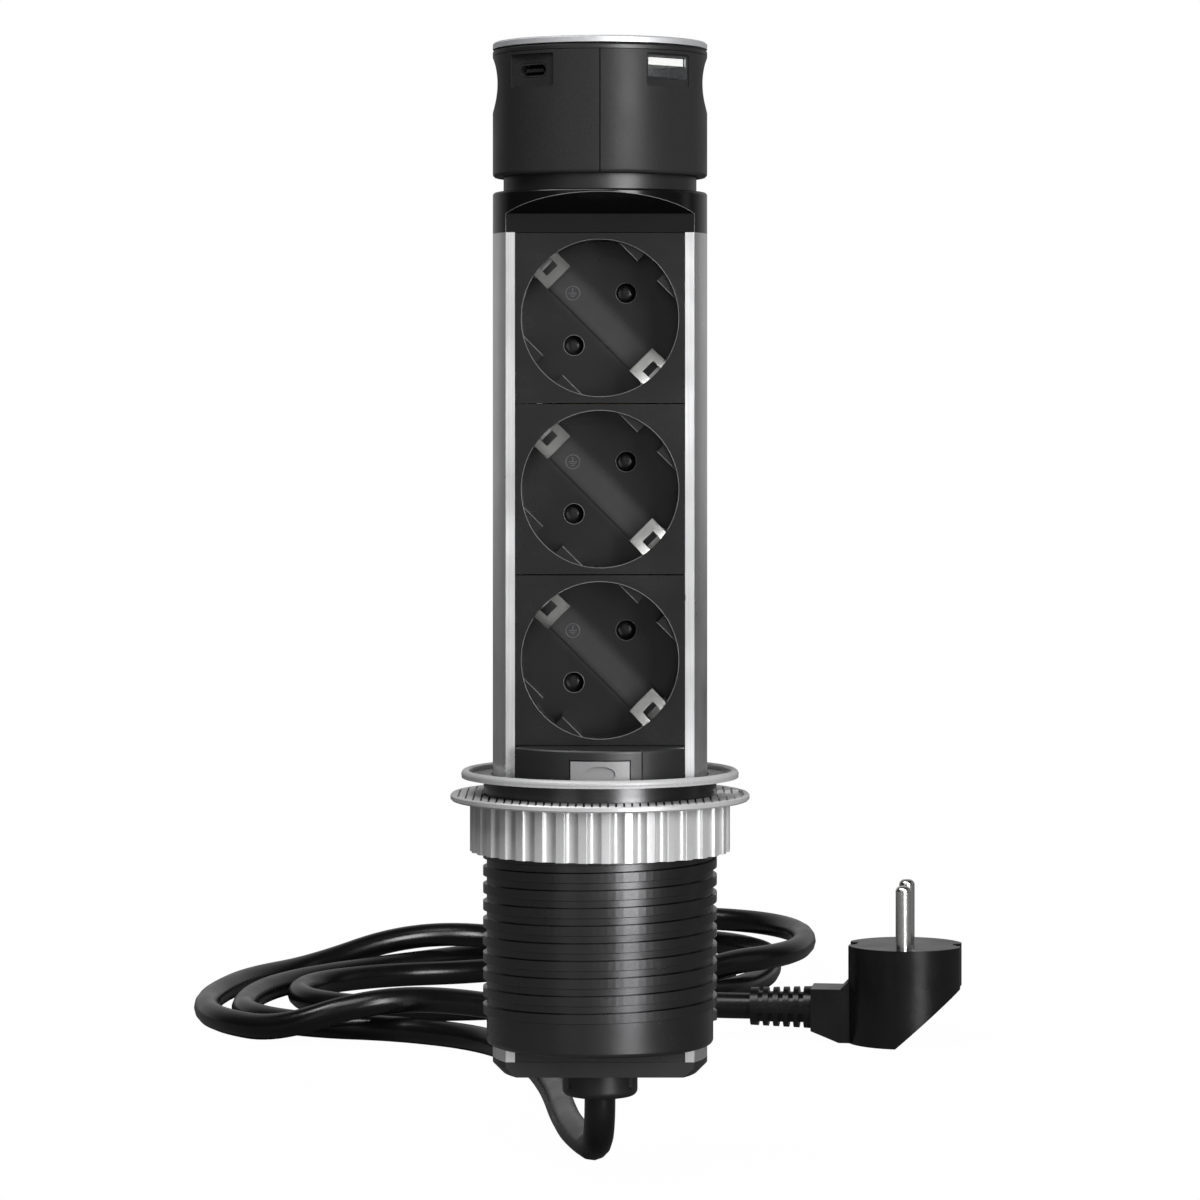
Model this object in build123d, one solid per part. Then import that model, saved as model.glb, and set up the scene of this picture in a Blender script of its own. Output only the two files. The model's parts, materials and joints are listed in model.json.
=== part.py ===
"""Pop up desk socket: a tower of three earthed sockets and two USB ports that slides out of a desk.

The origin is the centre of the flange ring's underside, in the plane of the desk top. Z runs up the
tower, the sockets face -Y and X is to their right.
"""

import math
import os

from build123d import *

# Driving dimensions, in millimetres
tower_d = 55.0
bore_clearance = 0.4
profile_wall = 2.0
front_flat = 13.6
panel_recess = 0.4
fit_gap = 0.2
seam = 0.3
overrun = 1.0
edge_break = 0.4

# Tower stack, from the lower end of the profile up
profile_bottom_z = -71.2
chin_bottom_z = -25.1
stack_bottom_z = 8.9
socket_pitch = 43.4
socket_count = 3
collar_h = 10.6
head_travel = 3.5
head_rest_gap = 0.3
head_shell_h = 31.1
lid_seam = 0.15
lid_h = 1.3
lid_gap = 0.3
lid_ring_h = 1.0
disc_h = 1.65

stack_top_z = stack_bottom_z + socket_pitch * socket_count
collar_top_z = stack_top_z + collar_h
rim_z = collar_top_z + head_travel + head_rest_gap
shell_top_z = rim_z + head_shell_h
tower_r = tower_d / 2
bore_r = tower_r + bore_clearance
inner_r = tower_r - profile_wall
fill_r = inner_r - fit_gap
panel_y = -front_flat + panel_recess

# Sleeve, flange ring and clamp nut
sleeve_d = 58.1
shank_d = 59.7
shank_h = 5.2
sleeve_length = 68.1
sleeve_end_radius = 1.2
dish_d = 66.6
dish_h = 0.8
ring_d = 71.0
ring_lip_d = 67.2
ring_h = 2.0
ring_edge_h = 0.5
ring_crown_share = 0.37
ring_lip_drop = 0.4
nut_flange_d = 76.7
nut_flange_h = 1.7
nut_top_z = -4.1
nut_skirt_d = 66.7
nut_skirt_h = 13.0
nut_bore_d = 60.6
flute_count = 36
flute_d = 4.2
flute_depth = 1.0
flute_shift = 0.25
flute_crest_radius = 0.35
nut_slot_pitch = 2.0
nut_slot_w = 0.5
nut_slot_depth = 0.8
nut_slot_rim = 0.2
nut_mark_w = 15.0
nut_mark_rim = 1.6

# Socket moulding
well_d = 40.0
well_depth = 17.5
floor_t = 2.0
pin_spacing = 19.0
pin_hole_d = 5.3
band_w = 7.2
band_h = 0.8
clip_pocket_w = 9.0
clip_pocket_reach = 3.6
clip_pocket_y = 2.4
lug_h = 3.0
lug_gap = 7.0
lug_recess = 1.4
slot_angle = 45.0

# Earth clip, a bent strip
strip_t = 0.8
strip_w = 8.2
clip_leg_outset = 1.8
clip_bow_inset = 4.6
clip_tip_outset = 0.3
clip_bow_depth = 8.0
clip_tip_depth = 3.2
clip_root_depth = 12.4
clip_slot_w = 3.8
clip_joint = 1.8

# Rotary shutter behind the floor
shutter_t = 1.8
shutter_wing_w = 7.0
shutter_hub_d = 8.0
shutter_gap = 0.3
pivot_d = 3.0
pivot_gap = 0.25

# Contact carrier and busbars
carrier_w = 23.0
carrier_t = 10.6
carrier_rail_h = 3.0
carrier_end_gap = 1.2
tulip_d = 6.6
tulip_bore_d = 4.6
tulip_gap = 0.3
bar_w = 5.6
bar_t = 0.8
earth_bar_w = 4.4
bar_tail = 8.0

# Collar with its arch
collar_edge_radius = 0.8
arch_flat_h = 4.7
arch_rise = 5.0
collar_well_d = 24.0
collar_deck_t = 3.0

# Neck, stem and head spring
neck_d = 49.5
neck_wall = 2.2
neck_h = 8.2
neck_deck_t = 1.4
neck_slide_gap = 0.35
head_web_t = 2.0
stem_d = 10.0
stem_bore_d = 6.0
stem_gap = 0.4
stem_clip_d = 15.0
stem_clip_t = 1.0
stem_end = 0.8
stem_groove = 0.6
head_spring_wall = 1.6
head_spring_gap = 0.3

# Head and its ports
head_wall = 5.0
port_angle = 40.0
window_w = 14.0
window_h = 8.3
window_recess = 1.25
window_corner = 0.6
window_top_margin = 0.8
scallop_h = 14.4
scallop_depth = 1.4
scallop_top_margin = 0.3
rim_radius = 1.0
usb_a_w = 13.2
usb_a_h = 5.9
usb_a_raise = 0.8
usb_c_w = 9.2
usb_c_h = 3.5
port_wall = 0.4
port_length = 13.0
port_fit = 0.1
usb_a_tongue_t = 1.9
usb_c_tongue_t = 0.8
tongue_setback = 0.8
board_d = 44.0
board_t = 1.6
post_d = 5.0
post_circle_r = 16.0
post_angles = (90.0, 180.0, 0.0)
board_screw_d = 2.2
board_screw_tip = 2.0
board_screw_head_d = 4.2
board_screw_head_h = 1.2
transformer_size = (13.0, 10.0, 6.0)
transformer_y = 5.0
capacitor_d = 6.0
capacitor_h = 6.0
capacitor_y = -5.0

# Chin block, release button and lower panel
chin_w = 42.6
chin_depth = 13.0
chin_edge_radius = 0.8
chin_seam_x = 10.4
chin_seam_depth = 0.5
button_w = 14.8
button_h = 6.4
button_top_drop = 2.8
button_travel = 3.0
button_depth = 8.0
button_gap = 0.3
button_corner = 1.6
dimple_w = 7.7
dimple_h = 3.9
dimple_depth = 0.7
flange_extra = 1.2
flange_t = 1.2
chamber_slack = 2.0
button_spring_d = 5.0
button_spring_wall = 0.9
panel_t = 2.2

# Bottom cap, gland and screws
cap_h = 3.9
cap_bevel = 2.4
spigot_h = 6.0
spigot_wall = 2.0
boss_r = 3.0
boss_hole_d = 3.0
boss_reach = 23.2
boss_angle = 45.0
screw_d = 2.8
screw_head_d = 5.4
screw_head_h = 1.8
screw_length = 14.0
screw_well = 0.4
gland_y = 6.0
gland_d = 19.4
gland_h = 7.4
gland_radius = 1.6
gland_thread_d = 12.0
gland_flat_w = 2.8
gland_groove_w = 1.6
gland_nut_t = 3.0
gland_nut_w = 16.0
cord_d = 8.0
lead_length = 30.0
wire_d = 2.2
wire_start = 1.8
wire_bend_radius = 8.0

# Plug on the cord
relief_d = 13.0
relief_l = 19.0
relief_tip_d = 11.6
relief_slots = 5
relief_slot_w = 1.5
relief_slot_depth = 1.8
relief_spine_w = 2.6
plug_face_w = 34.3
plug_face_d = 36.5
plug_h = 30.0
plug_neck_h = 13.0
plug_neck_w = 14.0
plug_neck_l = 11.7
plug_heel = 3.0
plug_throat = 2.5
plug_bevel_l = 19.2
plug_bevel_h = 17.0
plug_pin_d = 4.8
plug_pin_l = 19.0
plug_contact_w = 6.0
plug_contact_t = 2.4
plug_contact_h = 14.0
plug_strip_t = 0.8
arc_share = 0.45

# Cord route, chosen by hand: x, y and the height of the cord's axis above the surface it lies on
floor_z = -101.8
cord_route = [
    (0, 6, 19.3),
    (0, 6, 11.4),
    (-1, 13.8, 4),
    (-5, 30, 4),
    (-9, 55, 4),
    (-13, 112, 4),
    (-20, 165, 4),
    (-34, 205, 4),
    (-62, 227, 4),
    (-91, 234, 4),
    (-113, 257, 4),
    (-115, 291, 4),
    (-107, 329, 4),
    (-85, 360, 4),
    (-60, 386, 4),
    (-32, 414, 4),
    (-10, 440, 4),
    (18, 451, 4),
    (45, 439, 4),
    (59, 413, 4),
    (59, 379, 4),
    (56, 347, 4),
    (45, 314, 4),
    (20, 283, 4),
    (-15, 255, 4),
    (-50, 231, 13),
    (-74, 219, 13),
    (-100, 223, 4),
    (-119, 244, 4),
    (-127, 272, 4),
    (-126, 306, 4),
    (-118, 342, 4),
    (-99, 371, 4),
    (-69, 387, 13),
    (-37, 390, 13),
    (-15, 408, 4),
    (2, 430, 6),
    (29, 439, 13),
    (55, 427, 13),
    (69, 402, 13),
    (71, 368, 13),
    (63, 335, 13),
    (38, 310, 13),
    (13, 293, 4),
    (-16, 280, 4),
    (-45, 270, 4),
    (-77, 271, 4),
    (-99, 294, 4),
    (-98, 327, 4),
    (-75, 350, 4),
    (-44, 358, 4),
    (-21, 375, 4),
    (2, 389, 4),
    (27, 385, 4),
    (43, 361, 4),
    (41, 330, 4),
    (20, 310, 4),
    (-9, 310, 13),
    (-32, 292, 13),
    (-33, 263, 13),
    (-13, 242, 13),
    (16, 238, 10),
    (47, 234, 10),
]


def disc(radius, bottom, height, x=0, y=0):
    """An upright cylinder by its lower face and height."""
    align = (Align.CENTER, Align.CENTER, Align.MIN)
    return Pos(x, y, bottom) * Cylinder(radius, height, align=align)


def block(x0, x1, y0, y1, z0, z1):
    """A box by its two corners."""
    return Pos((x0 + x1) / 2, (y0 + y1) / 2, (z0 + z1) / 2) * Box(x1 - x0, y1 - y0, z1 - z0)


def d_section(radius, front_y, bottom, height):
    """A round bar with its front cut flat at front_y."""
    back = block(-radius, radius, front_y, radius, bottom, bottom + height)
    return disc(radius, bottom, height) & back


def ring_of(outer_r, hole_r, bottom, height, x=0, y=0):
    """A plain tube."""
    outer = disc(outer_r, bottom, height, x, y)
    return outer - disc(hole_r, bottom - overrun, height + 2 * overrun, x, y)


def boss_places():
    """The two screw ports inside the profile."""
    turn = math.radians(boss_angle)
    side = boss_reach * math.sin(turn)
    back = boss_reach * math.cos(turn)
    return [(side, back), (-side, back)]


def well_centres():
    """The heights of the socket axes, from the top one down."""
    first = stack_top_z - socket_pitch / 2
    return [first - socket_pitch * i for i in range(socket_count)]


def facing(z):
    """A plane at height z that looks out of the front, its x along +X and its y along +Z."""
    return Plane(origin=(0, 0, z), x_dir=(1, 0, 0), z_dir=(0, -1, 0))


def sleeve():
    """The tube in the desk hole, with the dish that fills the flange ring."""
    core = disc(sleeve_d / 2, -sleeve_length, sleeve_length)
    core = fillet(core.edges().group_by(Axis.Z)[0], sleeve_end_radius)
    core += disc(shank_d / 2, -shank_h, shank_h)
    core += disc(dish_d / 2, 0, dish_h)
    core -= disc(bore_r, -sleeve_length - overrun, sleeve_length + dish_h + 2 * overrun)
    return core


def flange_ring():
    """The grey ring that lies on the desk, its crown leaning in to the lip."""
    lip_r = ring_lip_d / 2
    outer_r = ring_d / 2
    crown = (lip_r + (outer_r - lip_r) * ring_crown_share, ring_h)
    inner_top = (lip_r, ring_h - ring_lip_drop)
    sides = Polyline(inner_top, (lip_r, 0), (outer_r, 0), (outer_r, ring_edge_h))
    bead = ThreePointArc((outer_r, ring_edge_h), crown, inner_top)
    return revolve(Plane.XZ * make_face([sides, bead]), Axis.Z)


def nut_slots():
    """The straight grip slots across the flange's top, and the bare recess for a mark at its right."""
    low = nut_top_z - nut_slot_depth
    high = nut_top_z + overrun
    reach = nut_flange_d / 2 - nut_slot_rim
    half = nut_slot_w / 2
    steps = int((reach - half) / nut_slot_pitch)
    slots = []
    for step in range(-steps, steps + 1):
        x = step * nut_slot_pitch
        end = math.sqrt(reach**2 - (abs(x) + half) ** 2)
        slots.append(block(x - half, x + half, -end, end, low, high))
    mark_end = nut_flange_d / 2 - nut_mark_rim
    return slots, block(0, mark_end, -nut_mark_w / 2, nut_mark_w / 2, low, high)


def nut_skirt(top):
    """The skirt with its flutes, the crests between them rounded."""
    skirt = disc(nut_skirt_d / 2, top - nut_skirt_h, nut_skirt_h)
    cutter_r = nut_skirt_d / 2 + flute_d / 2 - flute_depth
    flutes = [
        Rot(0, 0, 360 / flute_count * (i - flute_shift))
        * disc(flute_d / 2, top - nut_skirt_h - overrun, nut_skirt_h + 2 * overrun, cutter_r)
        for i in range(flute_count)
    ]
    skirt -= flutes
    return fillet(skirt.edges().filter_by(Axis.Z), flute_crest_radius)


def clamp_nut():
    """The nut under the desk: a slotted flange over a fluted skirt."""
    flange_bottom = nut_top_z - nut_flange_h
    nut = disc(nut_flange_d / 2, flange_bottom, nut_flange_h)
    nut = chamfer(nut.edges(), edge_break)
    slots, mark = nut_slots()
    nut -= [slot - mark for slot in slots]
    nut -= mark
    nut += nut_skirt(flange_bottom)
    depth = nut_flange_h + nut_skirt_h
    return nut - disc(nut_bore_d / 2, nut_top_z - depth - overrun, depth + 2 * overrun)


def profile():
    """The extruded aluminium D, with two screw ports inside its back."""
    length = stack_top_z - profile_bottom_z
    section = Circle(tower_r) - Circle(inner_r)
    for x, y in boss_places():
        section += (Pos(x, y) * Circle(boss_r)) & Circle(tower_r)
    for x, y in boss_places():
        section -= Pos(x, y) * Circle(boss_hole_d / 2)
    keep_w = 2 * tower_r
    keep = Pos(0, (tower_r - front_flat) / 2) * Rectangle(keep_w, tower_r + front_flat)
    return Pos(0, 0, profile_bottom_z) * extrude(section & keep, length)


def screws():
    """Four screws: two up through the bottom cap and two down through the collar."""
    parts = []
    cap_bottom = profile_bottom_z - cap_h
    for x, y in boss_places():
        head_top = cap_bottom + screw_well + screw_head_h
        parts.append(
            disc(screw_head_d / 2, head_top - screw_head_h, screw_head_h, x, y)
            + disc(screw_d / 2, head_top, screw_length, x, y)
        )
        head_bottom = collar_top_z - screw_well - screw_head_h
        parts.append(
            disc(screw_head_d / 2, head_bottom, screw_head_h, x, y)
            + disc(screw_d / 2, head_bottom - screw_length, screw_length, x, y)
        )
    return parts


def screw_holes(bottom, height, head_z, head_height):
    """Clearance holes with counterbores for the profile screws."""
    cuts = []
    for x, y in boss_places():
        cuts.append(disc(screw_d / 2 + fit_gap, bottom - overrun, height + 2 * overrun, x, y))
        cuts.append(disc(screw_head_d / 2 + fit_gap, head_z, head_height, x, y))
    return cuts


def well_floor(centre_z):
    """The frame of a well's floor: x to the right, y up the tower, z out of the front."""
    return Location(facing(centre_z)) * Pos(0, 0, -panel_y - well_depth)


def pin_turns():
    """The turns of the two pins, lower left and upper right, about the socket's axis."""
    return [Rot(0, 0, slot_angle + side) for side in (0, 180)]


def clip_turns():
    """The turns of the two earth clips, upper left and lower right."""
    return [Rot(0, 0, -slot_angle + side) for side in (0, 180)]


def socket_body(centre_z):
    """One moulding: D-shaped in plan, its round well, floor, band, pin holes, lugs and clip pockets."""
    height = socket_pitch - seam
    depth = well_depth + floor_t
    bottom = centre_z - height / 2
    floor = well_floor(centre_z)
    body = disc(fill_r, bottom, height)
    body &= block(-fill_r, fill_r, panel_y, panel_y + depth, bottom, bottom + height)
    body -= floor * disc(well_d / 2, 0, well_depth + overrun)
    band = clip_turns()[0] * block(-well_d / 2, well_d / 2, -band_w / 2, band_w / 2, 0, band_h)
    body += floor * (disc(well_d / 2, -fit_gap, band_h + fit_gap) & band)
    reach = well_d / 2 + clip_pocket_reach
    half = clip_pocket_w / 2
    top = well_depth - clip_pocket_y
    for turn in clip_turns():
        pocket = block(well_d / 2 - strip_t, reach, -half, half, -floor_t - overrun, top)
        body -= floor * turn * pocket
    lug_top = well_depth - lug_recess
    chord = well_d / 2 - lug_h
    segment = disc(well_d / 2 + fit_gap, -fit_gap, lug_top + fit_gap)
    segment &= block(chord, well_d, -well_d, well_d, -overrun, lug_top)
    segment -= block(0, well_d, -lug_gap / 2, lug_gap / 2, -overrun, well_depth)
    for turn in pin_turns():
        body += floor * turn * segment
        hole = disc(pin_hole_d / 2, -floor_t - overrun, floor_t + 2 * overrun, pin_spacing / 2)
        body -= floor * turn * hole
    return body


def earth_strap(centre_z):
    """One bent strip: a sprung clip at each end of a bridge that runs behind the floor."""
    back = -floor_t - fit_gap - strip_t / 2
    root = well_depth - clip_root_depth
    bow = well_depth - clip_bow_depth
    tip = well_depth - clip_tip_depth
    leg_r = well_d / 2 + clip_leg_outset
    bow_r = well_d / 2 - clip_bow_inset
    tip_r = well_d / 2 + clip_tip_outset
    half = [(leg_r, back), (leg_r, root), (bow_r, bow), (tip_r, tip)]
    line = Polyline([(-x, z) for x, z in reversed(half)] + half)
    strip = extrude(Plane.XZ * trace(line, strip_t), strip_w / 2, both=True)
    slot_r = clip_slot_w / 2
    for turn in (Rot(0, 0, 0), Rot(0, 0, 180)):
        slot = block(bow_r + clip_joint, leg_r - strip_t, -slot_r, slot_r, root, tip + strip_t)
        strip -= turn * slot
    return well_floor(centre_z) * clip_turns()[0] * strip


def shutter_front():
    """How far the shutter's front face lies behind the well's floor."""
    return floor_t + fit_gap + strip_t + shutter_gap


def carrier_front():
    """How far the contact carrier's front face lies behind the well's floor."""
    return shutter_front() + shutter_t + shutter_gap


def shutter(centre_z):
    """The rotary shutter: two wings over the pin holes, turning on the earth post."""
    wings = SlotCenterToCenter(pin_spacing, shutter_wing_w) + Circle(shutter_hub_d / 2)
    wings -= Circle(pivot_d / 2 + pivot_gap)
    plate = extrude(wings, shutter_t)
    front = shutter_front()
    return well_floor(centre_z) * pin_turns()[0] * Pos(0, 0, -front - shutter_t) * plate


def contact_carrier(centre_z):
    """The block behind a socket that holds its contacts: two bores, the earth post's hole and two rails."""
    half = socket_pitch / 2 - carrier_end_gap
    front = carrier_front()
    side = carrier_w / 2
    carrier = block(-side, side, -half, half, -front - carrier_t, -front)
    for low in (-half, half - carrier_rail_h):
        carrier += block(-side, side, low, low + carrier_rail_h, -front, -floor_t)
    bore_depth = carrier_t + 2 * overrun
    bore = disc(tulip_d / 2 + tulip_gap, -front - carrier_t - overrun, bore_depth, pin_spacing / 2)
    for turn in pin_turns():
        carrier -= turn * bore
    carrier -= disc(pivot_d / 2 + pivot_gap, -front - carrier_t - overrun, bore_depth)
    return well_floor(centre_z) * carrier


def bar_front_y():
    """The plane of the busbars' front faces."""
    return panel_y + well_depth + carrier_front() + carrier_t


def bar(x, width):
    """One upright strip behind the carriers, with a tail for its wire."""
    y = bar_front_y()
    tail = stack_bottom_z - bar_tail
    return block(x - width / 2, x + width / 2, y, y + bar_t, tail, stack_top_z - carrier_end_gap)


def pin_offset():
    """How far a pin lies from the socket's axis along X, and the same along Z."""
    return pin_spacing / 2 * math.cos(math.radians(slot_angle))


def pole_busbar(side):
    """A live or neutral bar with a split contact sleeve behind each of its three pin holes."""
    strip = bar(side * pin_offset(), bar_w)
    length = carrier_t - shutter_gap
    turn = pin_turns()[0] if side > 0 else pin_turns()[1]
    for z in well_centres():
        low = -carrier_front() - carrier_t
        tulip = ring_of(tulip_d / 2, tulip_bore_d / 2, low, length, pin_spacing / 2)
        split_from = low + length / 2
        slit = block(-tulip_d, tulip_d, -seam, seam, split_from, low + length + overrun)
        slit = Pos(pin_spacing / 2, 0, 0) * slit
        strip += well_floor(z) * turn * (tulip - slit)
    return strip


def earth_busbar():
    """The middle bar, with a post to each earth strap that is the shutter's pivot as well."""
    strip = bar(0, earth_bar_w)
    front = floor_t + fit_gap + strip_t
    length = carrier_front() + carrier_t - front
    for z in well_centres():
        strip += well_floor(z) * disc(pivot_d / 2, -front - length, length)
    return strip


def collar():
    """The gloss collar over the profile, cut back in front into an arch over the top socket."""
    body = disc(tower_r, stack_top_z, collar_h)
    body = fillet(body.edges().group_by(Axis.Z)[-1], collar_edge_radius)
    slope = arch_rise / (tower_r - front_flat)
    arch = make_face(
        Polyline(
            (-front_flat, stack_top_z - overrun),
            (-front_flat, stack_top_z + arch_flat_h),
            (-tower_r - overrun, stack_top_z + arch_flat_h + arch_rise + overrun * slope),
            (-tower_r - overrun, stack_top_z - overrun),
            close=True,
        )
    )
    body -= extrude(Plane.YZ * arch, tower_r + overrun, both=True)
    body -= disc(collar_well_d / 2, stack_top_z - overrun, collar_h - collar_deck_t + overrun)
    body -= disc(stem_d / 2 + stem_gap, stack_top_z, collar_h + overrun)
    head_z = collar_top_z - screw_well - screw_head_h
    return body - screw_holes(stack_top_z, collar_h, head_z, screw_head_h + screw_well + overrun)


def neck():
    """The cup on the collar that the head slides over."""
    cup = ring_of(neck_d / 2, neck_d / 2 - neck_wall, collar_top_z, neck_h)
    return cup + ring_of(neck_d / 2, stem_d / 2 + stem_gap, collar_top_z, neck_deck_t)


def web_z():
    """The underside of the web inside the head, clear of the neck when the head is pressed."""
    return collar_top_z + neck_h + head_travel + head_rest_gap


def window_z():
    """The height of the middle of the port windows."""
    return shell_top_z - window_top_margin - window_h / 2


def port_frame(side):
    """The frame of a window's middle: x along the wall, y up, z out of the head."""
    turn = math.radians(port_angle * side)
    out = (math.sin(turn), -math.cos(turn), 0)
    along = (math.cos(turn), math.sin(turn), 0)
    return Location(Plane(origin=(0, 0, window_z()), x_dir=along, z_dir=out))


def port_place(side):
    """The frame of a port's axis: the USB-A port sits a little above its window's middle."""
    if side < 0:
        return port_frame(side)
    return port_frame(side) * Pos(0, usb_a_raise, 0)


def window_floor():
    """How far a window's flat floor lies from the tower's axis."""
    return tower_r - window_recess


def port_outline(side):
    """The outline of the USB-C port on the left or the USB-A port on the right."""
    if side < 0:
        return SlotOverall(usb_c_w, usb_c_h)
    return RectangleRounded(usb_a_w, usb_a_h, port_wall)


def head_shell():
    """The head's moulding: skirt over the neck, web, stem, board posts, windows and finger scallops."""
    shell = disc(tower_r, rim_z, head_shell_h)
    shell = fillet(shell.edges().group_by(Axis.Z)[0], rim_radius)
    shell -= disc(neck_d / 2 + neck_slide_gap, rim_z - overrun, web_z() - rim_z + overrun)
    floor_z_inside = web_z() + head_web_t
    chamber_r = tower_r - head_wall
    shell -= disc(chamber_r, floor_z_inside, shell_top_z - floor_z_inside + overrun)
    clip_z = stem_clip_z()
    stem_low = clip_z - stem_end
    shell += disc(stem_d / 2, stem_low, floor_z_inside - stem_low)
    shell -= ring_of(stem_d, stem_d / 2 - stem_groove, clip_z, stem_clip_t)
    shell -= disc(stem_bore_d / 2, stem_low - overrun, floor_z_inside - stem_low + 2 * overrun)
    for x, y in post_places():
        shell += disc(post_d / 2, floor_z_inside, board_z() - floor_z_inside, x, y)
        shell -= disc(board_screw_d / 2 + fit_gap, floor_z_inside, board_z() - floor_z_inside + overrun, x, y)
    middle = shell_top_z - scallop_top_margin - scallop_h / 2
    half = scallop_h / 2
    scoop_r = (half**2 + scallop_depth**2) / (2 * scallop_depth)
    for side in (-1, 1):
        scoop = Rot(90, 0, 0) * Cylinder(scoop_r, tower_d)
        shell -= Pos(side * (tower_r - scallop_depth + scoop_r), 0, middle) * scoop
        frame = port_frame(side)
        window = RectangleRounded(window_w, window_h, window_corner)
        shell -= frame * Pos(0, 0, window_floor()) * extrude(window, window_recess + overrun)
        hole = offset(port_outline(side), port_fit)
        inner = Pos(0, 0, window_floor() - head_wall)
        shell -= port_place(side) * inner * extrude(hole, head_wall + overrun)
    return shell


def stem_clip_z():
    """The lower face of the stop ring on the stem, just below the collar's deck."""
    return collar_top_z - collar_deck_t - head_rest_gap - stem_clip_t


def stem_clip():
    """The split ring that holds the head down."""
    low = stem_clip_z()
    clip = ring_of(stem_clip_d / 2, stem_d / 2 - stem_groove + port_fit, low, stem_clip_t)
    return clip - block(-seam, seam, 0, stem_clip_d, low - overrun, low + stem_clip_t + overrun)


def head_spring():
    """The coil spring between the neck's deck and the head's web, as a sleeve of its size."""
    inner = stem_d / 2 + head_spring_gap
    low = collar_top_z + neck_deck_t
    return ring_of(inner + head_spring_wall, inner, low, web_z() - low)


def head_lid():
    """The black lip under the disc, with a ring that centres it in the head."""
    z = shell_top_z + lid_seam
    lid = disc(tower_r, z, lid_h)
    lid = chamfer(lid.edges().group_by(Axis.Z)[-1], edge_break)
    ring_r = tower_r - head_wall - fit_gap
    return lid + ring_of(ring_r, ring_r - profile_wall, z - lid_ring_h, lid_ring_h)


def disc_z():
    """The underside of the silver disc's rim."""
    return shell_top_z + lid_seam + lid_h + lid_gap


def top_disc():
    """The silver disc that closes the tower, on a low boss that leaves a shadow line."""
    plate = disc(tower_r, disc_z(), disc_h)
    plate = chamfer(plate.edges().group_by(Axis.Z)[-1], edge_break)
    return plate + disc(tower_r - head_wall, disc_z() - lid_gap, lid_gap)


def port_shell(side):
    """A receptacle's metal shell, its mouth flush with the window's floor."""
    outline = port_outline(side)
    tube = extrude(outline - offset(outline, -port_wall), port_length)
    back = extrude(outline, port_wall)
    return port_place(side) * Pos(0, 0, window_floor() - port_length) * (tube + back)


def port_tongue(side):
    """The tongue inside a receptacle: high in the USB-A port, in the middle of the USB-C port."""
    length = port_length - port_wall - tongue_setback
    frame = port_place(side) * Pos(0, 0, window_floor() - port_length + port_wall)
    if side < 0:
        width = usb_c_w - usb_c_h
        return frame * extrude(Rectangle(width, usb_c_tongue_t), length)
    room = usb_a_h / 2 - port_wall
    width = usb_a_w - 2 * port_wall - 2 * fit_gap
    place = Pos(0, room - fit_gap - usb_a_tongue_t / 2)
    return frame * extrude(place * Rectangle(width, usb_a_tongue_t), length)


def board_z():
    """The underside of the charger board, which carries the ports."""
    return window_z() + usb_a_raise - usb_a_h / 2 - board_t


def post_places():
    """The three posts that carry the board."""
    turns = [math.radians(a) for a in post_angles]
    return [(post_circle_r * math.cos(a), post_circle_r * math.sin(a)) for a in turns]


def usb_board():
    """The round charger board, with its screw holes."""
    board = disc(board_d / 2, board_z(), board_t)
    for x, y in post_places():
        board -= disc(board_screw_d / 2 + fit_gap, board_z() - overrun, board_t + 2 * overrun, x, y)
    return board


def board_screws():
    """The three screws that hold the board on its posts."""
    top = board_z() + board_t
    low = web_z() + head_web_t + board_screw_tip
    parts = []
    for x, y in post_places():
        shaft = disc(board_screw_d / 2, low, top - low, x, y)
        parts.append(shaft + disc(board_screw_head_d / 2, top, board_screw_head_h, x, y))
    return parts


def transformer():
    """The charger's transformer, a wound block with its core standing proud."""
    x, y, z = transformer_size
    top = board_z() + board_t
    coil = block(-x / 2, x / 2, transformer_y - y / 2, transformer_y + y / 2, top, top + z)
    coil = chamfer(coil.edges().filter_by(Axis.Z), edge_break)
    core = y / 4
    reach = x / 2 + core / 2
    return coil + block(-reach, reach, transformer_y - core, transformer_y + core, top, top + z)


def capacitor():
    """The upright capacitor beside it."""
    can = disc(capacitor_d / 2, board_z() + board_t, capacitor_h, 0, capacitor_y)
    return fillet(can.edges().group_by(Axis.Z)[-1], edge_break)


def button_top_z():
    """The top of the release button."""
    return stack_bottom_z - button_top_drop


def button_y():
    """The back of the button's body."""
    return -tower_r + button_depth


def chin():
    """The block under the sockets: a full round front that guides the tower, hollow behind the button."""
    height = stack_bottom_z - chin_bottom_z
    half = chin_w / 2
    front = disc(tower_r, chin_bottom_z, height)
    front &= block(-half, half, -tower_r, panel_y, chin_bottom_z, stack_bottom_z)
    front = fillet(front.edges().group_by(Axis.Z)[-1], chin_edge_radius)
    groove = block(chin_seam_x, chin_seam_x + seam, -tower_r, 0, chin_bottom_z, stack_bottom_z)
    front -= groove - disc(tower_r - chin_seam_depth, chin_bottom_z, height)
    back = disc(fill_r, chin_bottom_z, height - seam)
    back &= block(-fill_r, fill_r, panel_y, panel_y + chin_depth, chin_bottom_z, stack_bottom_z)
    body = front + back
    low = button_top_z() - button_h - button_gap
    high = button_top_z() + button_gap
    side = button_w / 2 + button_gap
    body -= block(-side, side, -tower_r - overrun, button_y(), low, high)
    chamber_front = button_y() - flange_t - button_gap
    chamber_back = button_y() + button_travel + chamber_slack
    wide = side + flange_extra
    return body - block(-wide, wide, chamber_front, chamber_back, low - flange_extra, high + flange_extra)


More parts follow.
